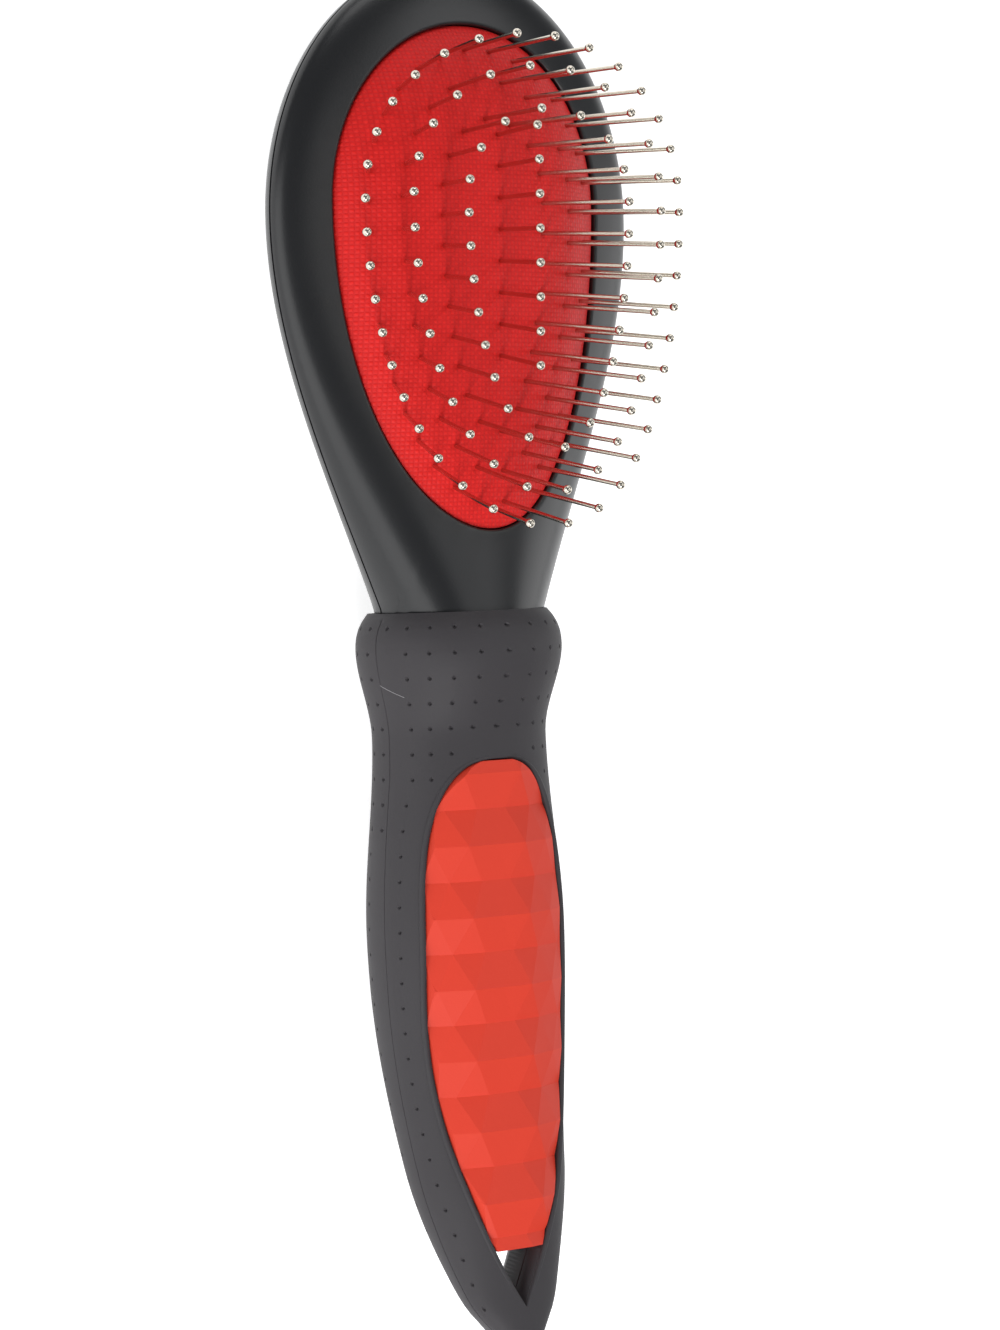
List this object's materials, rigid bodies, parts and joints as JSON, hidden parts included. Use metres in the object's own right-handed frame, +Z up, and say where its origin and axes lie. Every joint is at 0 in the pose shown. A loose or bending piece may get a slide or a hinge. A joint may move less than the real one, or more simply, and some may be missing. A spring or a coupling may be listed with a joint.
{
  "type": "pin brush",
  "caption": "Oval pin brush for dogs: ball-tipped steel pins in a domed red cushion, black plastic head, soft black grip with a faceted red insert and a hanging hole.",
  "frame": {"origin": "centre of the outline's box, on the surface that the brush lies on", "axes": "+Y from the grip towards the head, +Z up where the pins point, +X to the right seen from the grip"},
  "size_m": [0.07, 0.2298, 0.046],
  "materials": {
    "body_plastic": "satin black, moulded",
    "cushion_rubber": "matte red with a fine woven texture",
    "grip_rubber": "matte warm black, soft",
    "insert_rubber": "matte orange red, soft, faceted",
    "pin_steel": "bright nickel-plated wire with ball tips"
  },
  "bodies": {
    "root": {"front_frame": "body_plastic", "back_shell": "body_plastic", "cushion_pad": "cushion_rubber", "grip_sleeve": "grip_rubber", "facet_insert": "insert_rubber", "outer_pins_1": "pin_steel", "outer_pins_2": "pin_steel", "outer_pins_3": "pin_steel", "outer_pins_4": "pin_steel", "outer_pins_5": "pin_steel", "outer_pins_6": "pin_steel", "outer_pins_7": "pin_steel", "outer_pins_8": "pin_steel", "outer_pins_9": "pin_steel", "outer_pins_10": "pin_steel", "second_pins_1": "pin_steel", "second_pins_2": "pin_steel", "second_pins_3": "pin_steel", "second_pins_4": "pin_steel", "second_pins_5": "pin_steel", "second_pins_6": "pin_steel", "second_pins_7": "pin_steel", "second_pins_8": "pin_steel", "third_pins_1": "pin_steel", "third_pins_2": "pin_steel", "third_pins_3": "pin_steel", "third_pins_4": "pin_steel", "third_pins_5": "pin_steel", "third_pins_6": "pin_steel", "middle_pins_1": "pin_steel", "middle_pins_2": "pin_steel"}
  },
  "joints": []
}
